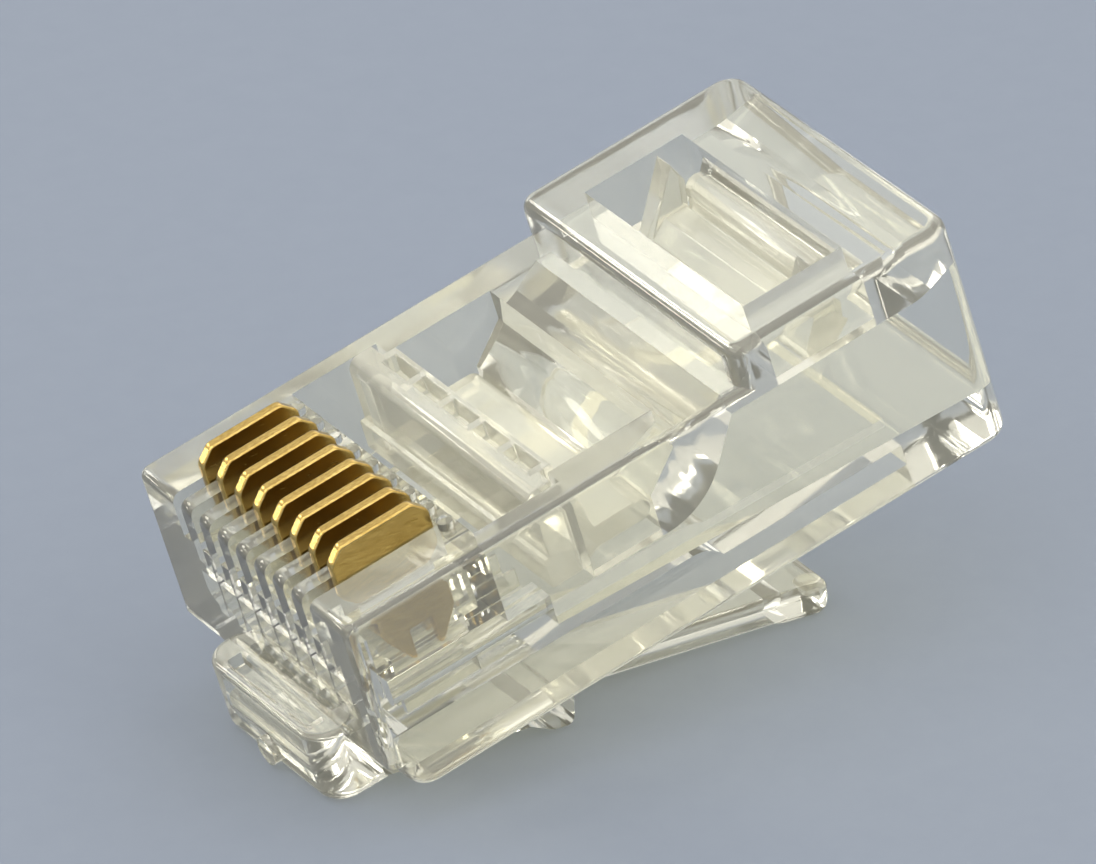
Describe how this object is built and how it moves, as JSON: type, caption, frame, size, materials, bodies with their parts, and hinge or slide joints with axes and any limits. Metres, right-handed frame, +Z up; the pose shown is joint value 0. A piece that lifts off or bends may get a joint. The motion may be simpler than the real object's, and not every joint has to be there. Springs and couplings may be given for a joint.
{
  "type": "rj45 modular plug",
  "caption": "Clear modular cable plug with a sprung locking latch, a row of gold-plated blade contacts and two press-down strain reliefs, not yet crimped.",
  "frame": {"origin": "on the ground plane, under the middle of the plug's box as it rests on its latch root and latch tail", "axes": "+X from the nose back to the cable mouth, +Y across the row of contacts, +Z up; the contact side faces up and the nose is pitched down by 14.9 degrees"},
  "size_m": [0.0222, 0.0116, 0.0141],
  "materials": {
    "clear_plastic": "clear polycarbonate, glossy, faintly milky",
    "gold_plate": "bright gold plate over sheet metal"
  },
  "bodies": {
    "plug": {"housing": "clear_plastic"},
    "latch": {"latch_tab": "clear_plastic"},
    "conductor_relief": {"conductor_strain_relief": "clear_plastic"},
    "jacket_relief": {"jacket_strain_relief": "clear_plastic"},
    "blade_1": {"contact_1": "gold_plate"},
    "blade_2": {"contact_2": "gold_plate"},
    "blade_3": {"contact_3": "gold_plate"},
    "blade_4": {"contact_4": "gold_plate"},
    "blade_5": {"contact_5": "gold_plate"},
    "blade_6": {"contact_6": "gold_plate"},
    "blade_7": {"contact_7": "gold_plate"},
    "blade_8": {"contact_8": "gold_plate"}
  },
  "joints": [
    {"name": "latch_hinge", "type": "hinge", "parent": "plug", "child": "latch", "pos_m": [-0.00826, 0, 0.00092], "axis": [0, -1, 0], "range_deg": [0, 18], "stiffness_Nm_per_rad": 0.12},
    {"name": "conductor_relief_hinge", "type": "hinge", "parent": "plug", "child": "conductor_relief", "pos_m": [-0.0009, 0, 0.00756], "axis": [0, -1, 0], "range_deg": [0, 13]},
    {"name": "jacket_relief_hinge", "type": "hinge", "parent": "plug", "child": "jacket_relief", "pos_m": [0.00632, 0, 0.01225], "axis": [0, -1, 0], "range_deg": [0, 25]},
    {"name": "blade_1_press", "type": "slide", "parent": "plug", "child": "blade_1", "axis": [0.2567, 0, -0.9665], "range_m": [0, 0.0014]},
    {"name": "blade_2_press", "type": "slide", "parent": "plug", "child": "blade_2", "axis": [0.2567, 0, -0.9665], "range_m": [0, 0.0014]},
    {"name": "blade_3_press", "type": "slide", "parent": "plug", "child": "blade_3", "axis": [0.2567, 0, -0.9665], "range_m": [0, 0.0014]},
    {"name": "blade_4_press", "type": "slide", "parent": "plug", "child": "blade_4", "axis": [0.2567, 0, -0.9665], "range_m": [0, 0.0014]},
    {"name": "blade_5_press", "type": "slide", "parent": "plug", "child": "blade_5", "axis": [0.2567, 0, -0.9665], "range_m": [0, 0.0014]},
    {"name": "blade_6_press", "type": "slide", "parent": "plug", "child": "blade_6", "axis": [0.2567, 0, -0.9665], "range_m": [0, 0.0014]},
    {"name": "blade_7_press", "type": "slide", "parent": "plug", "child": "blade_7", "axis": [0.2567, 0, -0.9665], "range_m": [0, 0.0014]},
    {"name": "blade_8_press", "type": "slide", "parent": "plug", "child": "blade_8", "axis": [0.2567, 0, -0.9665], "range_m": [0, 0.0014]}
  ]
}
